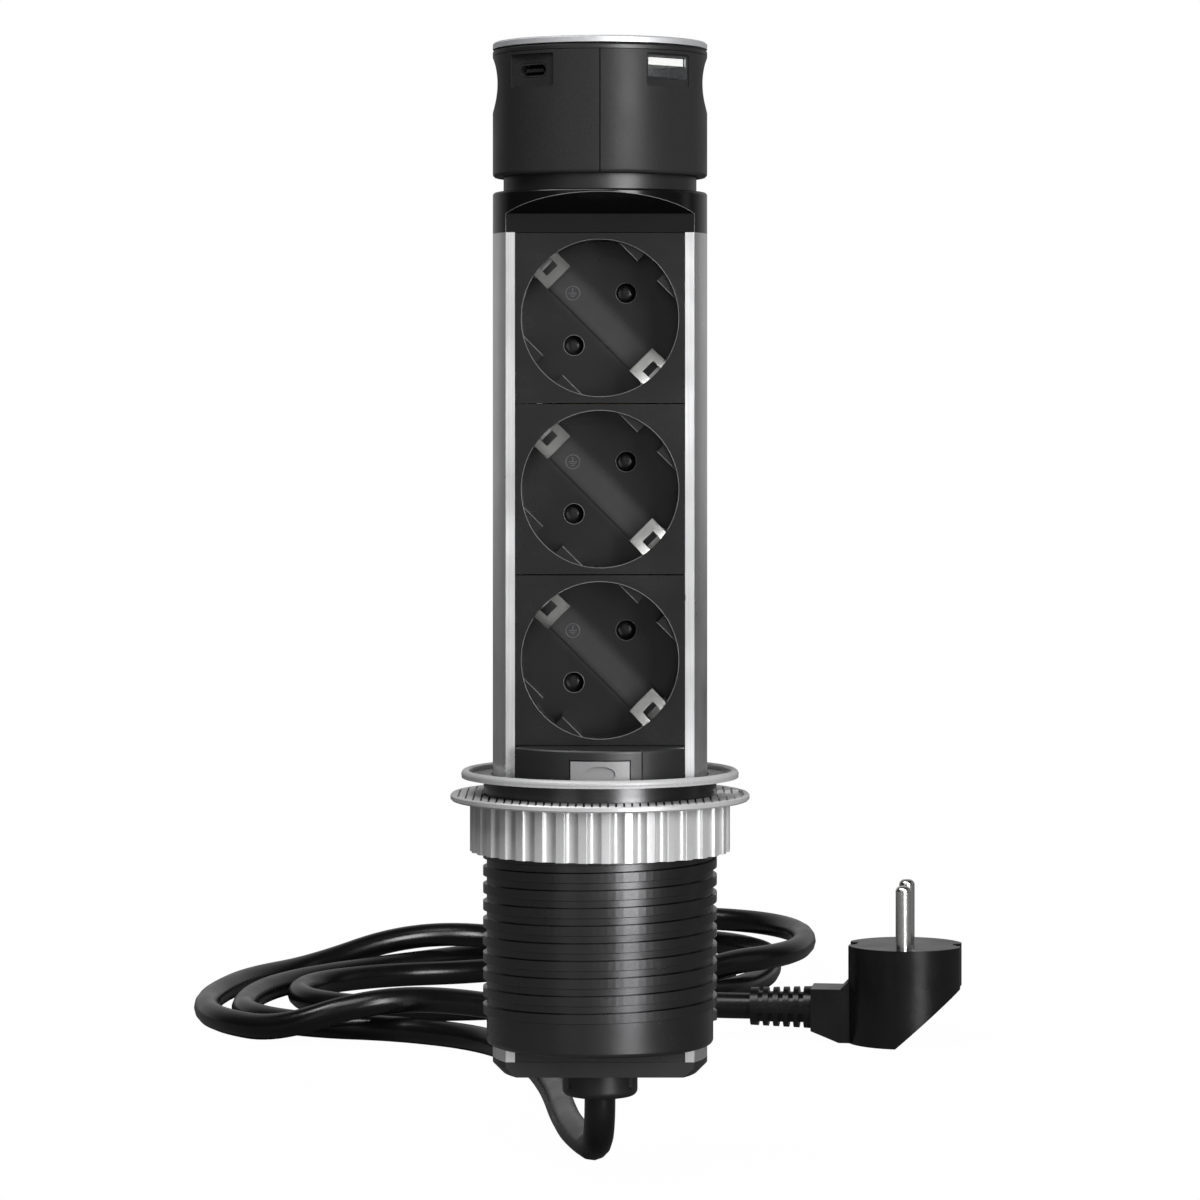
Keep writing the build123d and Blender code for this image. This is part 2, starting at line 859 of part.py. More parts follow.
def release_button():
    """The grey button: a curved face with a dimple, and a flange behind that keeps it in."""
    top = button_top_z()
    half = button_w / 2
    body = block(-half, half, -tower_r, button_y(), top - button_h, top)
    low_edges = body.edges().filter_by(Axis.Y).group_by(Axis.Z)[0]
    body = fillet(low_edges, button_corner)
    body &= disc(tower_r, top - button_h, button_h)
    dimple = Location(facing(top - button_h / 2)) * Pos(0, 0, tower_r - dimple_depth)
    body -= dimple * extrude(Ellipse(dimple_w / 2, dimple_h / 2), dimple_depth + overrun)
    flange = block(
        -half - flange_extra,
        half + flange_extra,
        button_y() - flange_t,
        button_y(),
        top - button_h - flange_extra,
        top + flange_extra,
    )
    return body + flange


def button_spring():
    """The button's coil spring, as a sleeve of its size."""
    length = button_travel + chamber_slack
    tube = ring_of(button_spring_d / 2, button_spring_d / 2 - button_spring_wall, 0, length)
    place = Location(facing(button_top_z() - button_h / 2)) * Pos(0, 0, -button_y() - length)
    return place * tube


def lower_panel():
    """The plain strip that closes the front of the profile under the chin."""
    length = chin_bottom_z - seam - profile_bottom_z
    strip = disc(fill_r, profile_bottom_z, length)
    return strip & block(
        -fill_r, fill_r, panel_y, panel_y + panel_t, profile_bottom_z, profile_bottom_z + length
    )


def bottom_cap():
    """The cap on the profile's lower end, with a wall inside the profile and a hole for the gland."""
    low = profile_bottom_z - cap_h
    bevelled = disc(tower_r, low, cap_h)
    bevelled = chamfer(bevelled.edges().group_by(Axis.Z)[0], cap_bevel)
    plate = bevelled & block(-tower_r, tower_r, -front_flat, tower_r, low, low + cap_h)
    front = panel_y + panel_t + fit_gap
    wall = d_section(fill_r, front, profile_bottom_z, spigot_h)
    wall -= d_section(fill_r - spigot_wall, front + spigot_wall, profile_bottom_z, spigot_h)
    for x, y in boss_places():
        wall -= disc(boss_r + fit_gap, profile_bottom_z, spigot_h, x, y)
    cap = plate + wall
    cap -= disc(gland_thread_d / 2 + fit_gap, low - overrun, cap_h + 2 * overrun, 0, gland_y)
    head_room = screw_well + screw_head_h
    return cap - screw_holes(low, cap_h, low - overrun, head_room + overrun)


def gland_bottom_z():
    """The face that the cord leaves."""
    return profile_bottom_z - cap_h - gland_h


def cable_gland():
    """The gland under the cap: a round skirt with two grip grooves, and a threaded neck through the cap."""
    low = gland_bottom_z()
    body = disc(gland_d / 2, low, gland_h, 0, gland_y)
    body = fillet(body.edges().group_by(Axis.Z)[0], gland_radius)
    for side in (-1, 1):
        x = side * (gland_d / 2 - gland_flat_w / 2)
        body -= block(
            x - gland_groove_w / 2,
            x + gland_groove_w / 2,
            gland_y - gland_d / 2 - overrun,
            gland_y - gland_d / 4,
            low + gland_h / 3,
            low + gland_h + overrun,
        )
    neck_length = cap_h + gland_nut_t + fit_gap
    body += disc(gland_thread_d / 2, low + gland_h, neck_length, 0, gland_y)
    bore_length = gland_h + neck_length + 2 * overrun
    return body - disc(cord_d / 2 + port_fit, low - overrun, bore_length, 0, gland_y)


def gland_nut():
    """The hexagonal nut that holds the gland from inside."""
    nut = extrude(RegularPolygon(gland_nut_w / 2, 6, major_radius=False), gland_nut_t)
    nut -= disc(gland_thread_d / 2 + port_fit, -overrun, gland_nut_t + 2 * overrun)
    return Pos(0, gland_y, profile_bottom_z) * nut


def inner_lead():
    """The sheathed cord inside the gland."""
    return disc(cord_d / 2, gland_bottom_z(), lead_length, 0, gland_y)


def wire(x_start, y_start, x_end):
    """One insulated wire from the end of the sheath to its busbar."""
    low = gland_bottom_z() + lead_length
    high = stack_bottom_z - bar_tail
    y_end = bar_front_y() + bar_t / 2
    rise = (high - low) / 4
    line = FilletPolyline(
        (x_start, y_start, low),
        (x_start, y_start, low + rise),
        (x_end, y_end, high - rise),
        (x_end, y_end, high),
        radius=wire_bend_radius,
    )
    return sweep(Plane(origin=(x_start, y_start, low)) * Circle(wire_d / 2), path=line)


def route_points():
    """The cord's route in the part's frame."""
    return [Vector(x, y, floor_z + h) for x, y, h in cord_route]


def bend_radii(points):
    """The largest arc that each corner's two runs allow; the first run is one corner's own."""
    radii = []
    for before, corner, after in zip(points, points[1:], points[2:]):
        turn = (corner - before).get_angle(after - corner)
        lead_in = (corner - before).length
        if before is points[0]:
            lead_in *= 2
        run = min(lead_in, (after - corner).length)
        radii.append(arc_share * run / math.tan(math.radians(turn / 2)))
    return radii


def cord():
    """The free cord from the gland to the plug, one tube along its route."""
    points = route_points()
    radii = bend_radii(points)
    line = FilletPolyline(*points, radius=radii)
    start = Plane(origin=points[0], z_dir=points[1] - points[0])
    tube = sweep(start * Circle(cord_d / 2), path=line)
    section = math.pi * (cord_d / 2) ** 2
    print("cord length", round(line.length, 1), "radii", [round(r, 1) for r in radii])
    print("cord volume over section times length", round(tube.volume / (section * line.length), 4))
    return tube


def plug_frame():
    """The plug's frame: on the surface under the cord's end, x along the cord's last run."""
    before, end = route_points()[-2:]
    yaw = math.degrees(math.atan2(end.Y - before.Y, end.X - before.X))
    return Location((end.X, end.Y, floor_z), (0, 0, yaw))


def plug_axis_h():
    """The height of the cord's end above the surface, which is the height of the plug's neck."""
    return route_points()[-1].Z - floor_z


def plug_relief():
    """The ribbed strain relief, tapered to the cord and slotted above and below a spine."""
    body = Cone(relief_tip_d / 2, relief_d / 2, relief_l)
    pitch = relief_l / (relief_slots + 1)
    for i in range(relief_slots):
        z = pitch * (i + 1) - relief_l / 2
        groove = Cylinder(relief_d, relief_slot_w) - Cylinder(relief_d / 2 - relief_slot_depth, relief_slot_w)
        groove -= Box(relief_spine_w, 2 * relief_d, relief_slot_w)
        body -= Pos(0, 0, z) * groove
    return plug_frame() * Pos(relief_l / 2, 0, plug_axis_h()) * Rot(0, 90, 0) * body


def plug_body():
    """The angled plug: a flattened round column on a bevelled foot, with a neck to the strain relief."""
    x0 = relief_l + plug_neck_l
    x1 = x0 + plug_face_w
    neck_low = plug_axis_h() - plug_neck_h / 2
    neck_high = plug_axis_h() + plug_neck_h / 2
    side = make_face(
        Polyline(
            (relief_l, neck_low),
            (x0 - plug_heel, 0),
            (x1 - plug_bevel_l, 0),
            (x1, plug_bevel_h),
            (x1, plug_h),
            (x0, plug_h),
            (x0, neck_high + plug_throat),
            (x0 - plug_throat, neck_high),
            (relief_l, neck_high),
            close=True,
        )
    )
    prism = extrude(Plane.XZ * side, plug_face_d / 2, both=True)
    middle = x0 + plug_face_w / 2
    column = disc(plug_face_d / 2, 0, plug_h, middle)
    body = prism & column
    neck_part = prism & block(relief_l, middle, -plug_neck_w / 2, plug_neck_w / 2, 0, plug_h)
    body += neck_part
    for side_x in (x0, x1):
        inward = 1 if side_x == x0 else -1
        a, b = sorted((side_x - inward * overrun, side_x + inward * plug_contact_t))
        body -= block(
            a, b, -plug_contact_w / 2, plug_contact_w / 2, plug_h - plug_contact_h, plug_h + overrun
        )
    return plug_frame() * body


def plug_contacts():
    """The two earth contacts, in the grooves at the ends of the plug's face."""
    x0 = relief_l + plug_neck_l
    x1 = x0 + plug_face_w
    half = plug_contact_w / 2 - port_fit
    low = plug_h - plug_contact_h
    parts = []
    for a in (x0 + plug_contact_t - plug_strip_t, x1 - plug_contact_t):
        strip = block(a, a + plug_strip_t, -half, half, low, plug_h - edge_break)
        parts.append(plug_frame() * strip)
    return parts


def plug_pins():
    """The two round pins."""
    middle = relief_l + plug_neck_l + plug_face_w / 2
    parts = []
    for side in (-1, 1):
        pin = disc(plug_pin_d / 2, plug_h, plug_pin_l, middle, side * pin_spacing / 2)
        pin = fillet(pin.edges().group_by(Axis.Z)[-1], plug_pin_d / 3)
        parts.append(plug_frame() * pin)
    return parts


def build():
    """Every node by its name."""
    nodes = {
        "sleeve": sleeve(),
        "flange_ring": flange_ring(),
        "clamp_nut": clamp_nut(),
        "profile": profile(),
        "profile_screws": screws(),
        "collar": collar(),
        "neck": neck(),
        "chin": chin(),
        "lower_panel": lower_panel(),
        "bottom_cap": bottom_cap(),
        "cable_gland": cable_gland(),
        "gland_nut": gland_nut(),
        "inner_lead": inner_lead(),
        "live_busbar": pole_busbar(1),
        "neutral_busbar": pole_busbar(-1),
        "earth_busbar": earth_busbar(),
        "live_wire": wire(wire_start, gland_y - wire_start, pin_offset()),
        "neutral_wire": wire(-wire_start, gland_y - wire_start, -pin_offset()),
        "earth_wire": wire(0, gland_y + wire_start, 0),
        "release_button": release_button(),
        "button_spring": button_spring(),
        "head_shell": head_shell(),
        "head_lid": head_lid(),
        "top_disc": top_disc(),
        "stem_clip": stem_clip(),
        "head_spring": head_spring(),
        "usb_c_shell": port_shell(-1),
        "usb_c_tongue": port_tongue(-1),
        "usb_a_shell": port_shell(1),
        "usb_a_tongue": port_tongue(1),
        "usb_board": usb_board(),
        "board_screws": board_screws(),
        "charger_transformer": transformer(),
        "charger_capacitor": capacitor(),
        "cord": cord(),
        "plug_relief": plug_relief(),
        "plug_body": plug_body(),
        "plug_contacts": plug_contacts(),
        "plug_pins": plug_pins(),
    }
    for i, z in enumerate(well_centres(), start=1):
        nodes[f"socket_{i}"] = socket_body(z)
        nodes[f"earth_strap_{i}"] = earth_strap(z)
        nodes[f"shutter_{i}"] = shutter(z)
        nodes[f"contact_carrier_{i}"] = contact_carrier(z)
    return nodes


os.makedirs("parts", exist_ok=True)
for name, shape in build().items():
    pieces = shape if isinstance(shape, list) else [shape]
    solids = [solid for piece in pieces for solid in piece.solids()]
    export_step(Compound(children=solids) if len(solids) > 1 else solids[0], f"parts/{name}.step")
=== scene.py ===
"""Looks of the pop up desk socket: its finishes, the thread, the mains lead and the studio.

Lengths are written in millimetres and turned to metres by MM. Only those of the lamps, the paper and the
camera's reach are in metres. The frame is the CAD part's own: the origin is the centre of the flange ring's
underside, Z runs up the tower and the sockets face -Y.
"""

import json
import math

import bmesh
import bpy
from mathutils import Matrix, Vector


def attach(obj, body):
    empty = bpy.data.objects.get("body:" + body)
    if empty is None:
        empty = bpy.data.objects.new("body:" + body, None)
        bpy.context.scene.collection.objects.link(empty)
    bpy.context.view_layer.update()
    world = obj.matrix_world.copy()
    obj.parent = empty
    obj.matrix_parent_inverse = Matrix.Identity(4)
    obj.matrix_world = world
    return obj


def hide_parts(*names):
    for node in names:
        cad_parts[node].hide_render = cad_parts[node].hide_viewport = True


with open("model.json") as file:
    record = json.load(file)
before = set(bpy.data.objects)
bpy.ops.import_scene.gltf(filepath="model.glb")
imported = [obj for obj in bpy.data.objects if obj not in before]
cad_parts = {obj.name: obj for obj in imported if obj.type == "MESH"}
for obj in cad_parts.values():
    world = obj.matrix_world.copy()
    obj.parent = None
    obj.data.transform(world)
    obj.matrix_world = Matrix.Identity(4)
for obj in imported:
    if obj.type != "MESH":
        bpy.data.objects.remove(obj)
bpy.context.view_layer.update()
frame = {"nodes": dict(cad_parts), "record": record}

MM = 0.001

# Points of a mesh that lie closer than this are merged
MERGE_DISTANCE = 0.001

# The surface that the mains lead and the plug lie on
FLOOR_Z = -101.8

# Camera: far off and level with the middle of the tower, its frame shifted down by some of its pixels
CAMERA_DISTANCE = 1103.0
CAMERA_HEIGHT = 96.6
CAMERA_LENS = 129.0
CAMERA_SENSOR_W = 36
CAMERA_REACH = 20
FRAME_PX = 1200
FRAME_DOWN_PX = 200

# Lamps and room: the point that the lamps face, the room's light in front and behind, and where it changes
LAMP_TARGET = (0, 0, 0.05)
ROOM_FRONT_LIGHT = 0.015
ROOM_BACK_LIGHT = 0.38
ROOM_CHANGE_START_SHARE = 0.42
ROOM_CHANGE_END_SHARE = 0.78

# Paper: half its width, its middle, and how its white grows pure behind the part
PAPER_HALF_W = 3.0
PAPER_MIDDLE_Y = 1.0
PAPER_FADE_START_Y = 0.2
PAPER_FADE_END_Y = 1.2
PAPER_NEAR_SHARE = 0.985

# Mains lead
CORD_D = 8.0
# Points of the lead's line: x, y and the height of its middle above the surface
CORD_ROUTE = (
    (0, 6, 19.3),
    (0, 6, 11.4),
    (-1, 13.8, 4),
    (-5, 30, 4),
    (-9, 55, 4),
    (-13, 112, 4),
    (-20, 165, 4),
    (-34, 205, 4),
    (-62, 227, 4),
    (-91, 234, 4),
    (-113, 257, 4),
    (-115, 291, 4),
    (-107, 329, 4),
    (-85, 360, 4),
    (-60, 386, 4),
    (-32, 414, 4),
    (-10, 440, 4),
    (18, 451, 4),
    (45, 439, 4),
    (59, 413, 4),
    (59, 379, 4),
    (56, 347, 4),
    (45, 314, 4),
    (20, 283, 4),
    (-15, 255, 4),
    (-50, 231, 13),
    (-74, 219, 13),
    (-100, 223, 4),
    (-119, 244, 4),
    (-127, 272, 4),
    (-126, 306, 4),
    (-118, 342, 4),
    (-99, 371, 4),
    (-69, 387, 13),
    (-37, 390, 13),
    (-15, 408, 4),
    (2, 430, 6),
    (29, 439, 13),
    (55, 427, 13),
    (69, 402, 13),
    (71, 368, 13),
    (63, 335, 13),
    (38, 310, 13),
    (13, 293, 4),
    (-16, 280, 4),
    (-45, 270, 4),
    (-77, 271, 4),
    (-99, 294, 4),
    (-98, 327, 4),
    (-75, 350, 4),
    (-44, 358, 4),
    (-21, 375, 4),
    (2, 389, 4),
    (27, 385, 4),
    (43, 361, 4),
    (41, 330, 4),
    (20, 310, 4),
    (-9, 310, 13),
    (-32, 292, 13),
    (-33, 263, 13),
    (-13, 242, 13),
    (16, 238, 10),
    (47, 234, 10),
)

# Wells of the sockets: their rim, floor, pin holes, keying ribs and the painted highlight band between the
# earth clips
WELL_MIDDLE_Z = 74.0
WELL_PITCH = 43.4
WELL_R = 20.0
WELL_RIM_Y = -13.2
WELL_INSIDE_Y = -10.0
WELL_FLOOR_Y = 4.3
PIN_R = 9.5
PIN_HOLE_R = 2.65
SHUTTER_DOME_R = 3.2
RIB_CHORD = 17.0
RIB_TOP_Y = -11.8
RIB_GAP = 7.0
BAND_W = 7.2
BAND_FADE = 1.5
BAND_Y = 3.5
EARTH_SIGN_PLACE = (-7.0, 6.7)
EARTH_SIGN_R = 1.8
EARTH_STEM_SHARE = 0.7
EARTH_BAR_SHARES = (0.6, 0.4, 0.2)
EARTH_BAR_STEP_SHARE = 0.25
EDGE_LINE_R = 0.09

# Turns in degrees, up from level: the pins' line, the clips' line, half the gap at a clip, a step on an arc
PIN_TURN = 45
CLIP_TURN = PIN_TURN - 90
CLIP_GAP_TURN = 13
ARC_STEP_TURN = 6

# Arch of the collar: the round wall that a sloping cut meets
COLLAR_R = 27.5
ARCH_LOW_Z = 139.1
ARCH_FLAT_H = 4.7
ARCH_SLOPE = 5.0 / 13.9
ARCH_FLAT_Y = 13.6

# Screw thread on the sleeve
THREAD_PITCH = 4.4
THREAD_TURNS = 12
THREAD_LOW_Z = -61.3
THREAD_CORE_R = 28.9
THREAD_CREST_R = 30.0
THREAD_ROOT_W = 2.9
THREAD_CREST_W = 2.3

# Patterns of the finishes: broad unevenness, the head's mould line, the disc's rings and the board's tracks
BROAD_GRAIN = 16
MOULD_LINE_HALF_W = 0.12
MOULD_LINE_FADE = 0.1
MOULD_LINE_LIFT = 3.0
DISC_RING_W = 0.3
TRACK_W = 0.72
TRACK_PATTERN = 6.0


# Small helpers


def linear(value):
    """One sRGB channel, 0 to 1, as linear light."""
    if value <= 0.04045:
        return value / 12.92
    return ((value + 0.055) / 1.055) ** 2.4


def colour(code):
    """A colour written as sRGB hex, as linear red, green, blue and alpha."""
    channels = [int(code[i : i + 2], 16) / 255 for i in (1, 3, 5)]
    return tuple(linear(c) for c in channels) + (1.0,)


def shaded(code, amount):
    """The same colour, lighter or darker by a share."""
    red, green, blue, alpha = colour(code)
    return (red * amount, green * amount, blue * amount, alpha)


def add(tree, kind, inputs=None, **settings):
    """Adds a shader node, with its settings, its input values and its links."""
    made = tree.nodes.new(kind)
    for name, value in settings.items():
        setattr(made, name, value)
    for name, value in (inputs or {}).items():
        if isinstance(value, bpy.types.NodeSocket):
            tree.links.new(value, made.inputs[name])
        else:
            made.inputs[name].default_value = value
    return made


def keep(bm, name, body, material):
    """Turns a finished bmesh into a piece that rides on a body."""
    bmesh.ops.remove_doubles(bm, verts=bm.verts, dist=MERGE_DISTANCE * MM)
    bmesh.ops.recalc_face_normals(bm, faces=bm.faces)
    mesh = bpy.data.meshes.new(name)
    bm.to_mesh(mesh)
    bm.free()
    piece = bpy.data.objects.new(name, mesh)
    bpy.context.scene.collection.objects.link(piece)
    mesh.materials.append(material)
    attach(piece, body)
    return piece


# Finishes


def start_material(name):
    """An empty node material and its object coordinates."""
    material = bpy.data.materials.new(name)
    material.use_nodes = True
    tree = material.node_tree
    tree.nodes.clear()
    place = add(tree, "ShaderNodeTexCoord").outputs["Object"]
    return material, tree, place


def grain_height(tree, place, size, stretch):
    """Noise whose spots are size mm across, drawn out along an axis where stretch is under 1."""
    mapped = add(tree, "ShaderNodeMapping", {"Vector": place, "Scale": stretch})
    noise = add(
        tree,
        "ShaderNodeTexNoise",
        {"Vector": mapped.outputs[0], "Scale": 1 / (size * MM), "Detail": 3.0, "Roughness": 0.55},
    )
    return noise.outputs["Fac"]


def between(tree, value, low, high, start=0.3, end=0.7):
    """A value of a pattern, spread from low to high."""
    ranges = {"Value": value, "From Min": start, "From Max": end, "To Min": low, "To Max": high}
    return add(tree, "ShaderNodeMapRange", ranges).outputs[0]


def mixed(tree, share, first, second):
    """Two colours, mixed by a share."""
    return add(tree, "ShaderNodeMix", {0: share, 6: first, 7: second}, data_type="RGBA").outputs[2]


def finish(
    name,
    code,
    roughness,
    metallic=0.0,
    specular=0.5,
    grain=0.5,
    relief=0.01,
    stretch=(1, 1, 1),
    mottle=0.12,
    rough_change=0.05,
    extra=None,
):
    """A surface with a grain of a real size in mm: its colour, gloss and height vary with it."""
    material, tree, place = start_material(name)
    fine = grain_height(tree, place, grain, stretch)
    broad = grain_height(tree, place, BROAD_GRAIN, (1, 1, 1))
    tint = mixed(tree, between(tree, fine, 0, 1), shaded(code, 1 - mottle), shaded(code, 1 + mottle))
    gloss = between(tree, broad, roughness - rough_change, roughness + rough_change)
    height = fine
    if extra:
        tint, height = extra(tree, place, tint, fine)
    bump = add(tree, "ShaderNodeBump", {"Height": height, "Distance": relief * MM})
    shader = add(
        tree,
        "ShaderNodeBsdfPrincipled",
        {
            "Base Color": tint,
            "Roughness": gloss,
            "Metallic": metallic,
            "Specular IOR Level": specular,
            "Normal": bump.outputs[0],
        },
    )
    add(tree, "ShaderNodeOutputMaterial", {"Surface": shader.outputs[0]})
    return material


def mould_line(tree, place, tint, height):
    """The hairline down the front of the head where the two halves of the mould met."""
    parts = add(tree, "ShaderNodeSeparateXYZ", {0: place})
    side = add(tree, "ShaderNodeMath", {0: parts.outputs["X"]}, operation="ABSOLUTE")
    front = add(tree, "ShaderNodeMath", {0: parts.outputs["Y"], 1: 0.0}, operation="LESS_THAN")
    edge = (MOULD_LINE_HALF_W + MOULD_LINE_FADE) * MM
    line = between(tree, side.outputs[0], 1, 0, MOULD_LINE_HALF_W * MM, edge)
    line = add(tree, "ShaderNodeMath", {0: line, 1: front.outputs[0]}, operation="MULTIPLY").outputs[0]
    lift = {0: line, 1: MOULD_LINE_LIFT, 2: height}
    lifted = add(tree, "ShaderNodeMath", lift, operation="MULTIPLY_ADD")
    return mixed(tree, line, tint, colour("#050505")), lifted.outputs[0]


def from_well(tree, place, turn):
    """How far a point lies from a line through the middle of its well, turned from the vertical."""
    parts = add(tree, "ShaderNodeSeparateXYZ", {0: place})
    half = WELL_PITCH / 2 * MM
    middle = WELL_MIDDLE_Z * MM
    ends = {0: parts.outputs["Z"], 1: middle + half, 2: middle - half}
    up = add(tree, "ShaderNodeMath", ends, operation="WRAP")
    up = add(tree, "ShaderNodeMath", {0: up.outputs[0], 1: middle}, operation="SUBTRACT")
    across = add(tree, "ShaderNodeMath", {0: parts.outputs["X"], 1: math.cos(turn)}, operation="MULTIPLY")
    sum_inputs = {0: up.outputs[0], 1: math.sin(turn), 2: across.outputs[0]}
    return add(tree, "ShaderNodeMath", sum_inputs, operation="MULTIPLY_ADD").outputs[0]


def highlight_band(tree, place, tint, height):
    """A painted highlight: a paler band across each well, between the earth clips, in place of a soft
    reflection.
    """
    offset = from_well(tree, place, math.radians(PIN_TURN))
    side = add(tree, "ShaderNodeMath", {0: offset}, operation="ABSOLUTE")
    inner = (BAND_W / 2 - BAND_FADE) * MM
    outer = (BAND_W / 2 + BAND_FADE) * MM
    share = between(tree, side.outputs[0], 1, 0, inner, outer)
    parts = add(tree, "ShaderNodeSeparateXYZ", {0: place})
    depths = {0: parts.outputs["Y"], 1: WELL_INSIDE_Y * MM}
    deep = add(tree, "ShaderNodeMath", depths, operation="GREATER_THAN")
    share = add(tree, "ShaderNodeMath", {0: share, 1: deep.outputs[0]}, operation="MULTIPLY")
    # Painted highlight: the band gets a paler colour that stands in for a soft reflection
    return mixed(tree, share.outputs[0], tint, colour("#303031")), height


def shutter_domes(tree, place, tint, height):
    """The domed faces of the shutters, which show in the pin holes."""
    offset = from_well(tree, place, math.radians(PIN_TURN))
    side = add(tree, "ShaderNodeMath", {0: offset}, operation="ABSOLUTE")
    across = add(tree, "ShaderNodeMath", {0: side.outputs[0], 1: PIN_R * MM}, operation="SUBTRACT")
    along = from_well(tree, place, math.radians(CLIP_TURN))
    flat = add(tree, "ShaderNodeCombineXYZ", {"X": across.outputs[0], "Y": along})
    radius = add(tree, "ShaderNodeVectorMath", {0: flat.outputs[0]}, operation="LENGTH")
    radii = {0: radius.outputs["Value"], 1: SHUTTER_DOME_R * MM}
    share = add(tree, "ShaderNodeMath", radii, operation="DIVIDE")
    fall = add(tree, "ShaderNodeMath", {0: share.outputs[0], 1: 2.0}, operation="POWER")
    dome = add(tree, "ShaderNodeMath", {0: 1.0, 1: fall.outputs[0]}, operation="SUBTRACT")
    return tint, dome.outputs[0]


def turned_rings(tree, place, tint, height):
    """Fine rings around the disc's centre, left by the lathe."""
    flat = add(tree, "ShaderNodeVectorMath", {0: place, 1: (1, 1, 0)}, operation="MULTIPLY")
    radius = add(tree, "ShaderNodeVectorMath", {0: flat.outputs[0]}, operation="LENGTH")
    rings = add(
        tree,
        "ShaderNodeTexNoise",
        {"W": radius.outputs["Value"], "Scale": 1 / (DISC_RING_W * MM), "Detail": 2.0},
        noise_dimensions="1D",
    )
    return mixed(tree, rings.outputs["Fac"], tint, colour("#d0d1d3")), rings.outputs["Fac"]


def copper_tracks(tree, place, tint, height):
    """Copper tracks under the green lacquer, drawn as the joints of a brick pattern."""
    tracks = add(
        tree,
        "ShaderNodeTexBrick",
        {
            "Vector": place,
            "Scale": 1 / (TRACK_PATTERN * MM),
            "Mortar Size": TRACK_W / 2 / TRACK_PATTERN,
            "Color1": (0, 0, 0, 1),
            "Color2": (0, 0, 0, 1),
            "Mortar": (1, 1, 1, 1),
        },
    )
    share = between(tree, tracks.outputs["Fac"], 0, 0.6, 0, 1)
    return mixed(tree, share, tint, colour("#3f8f4a")), height


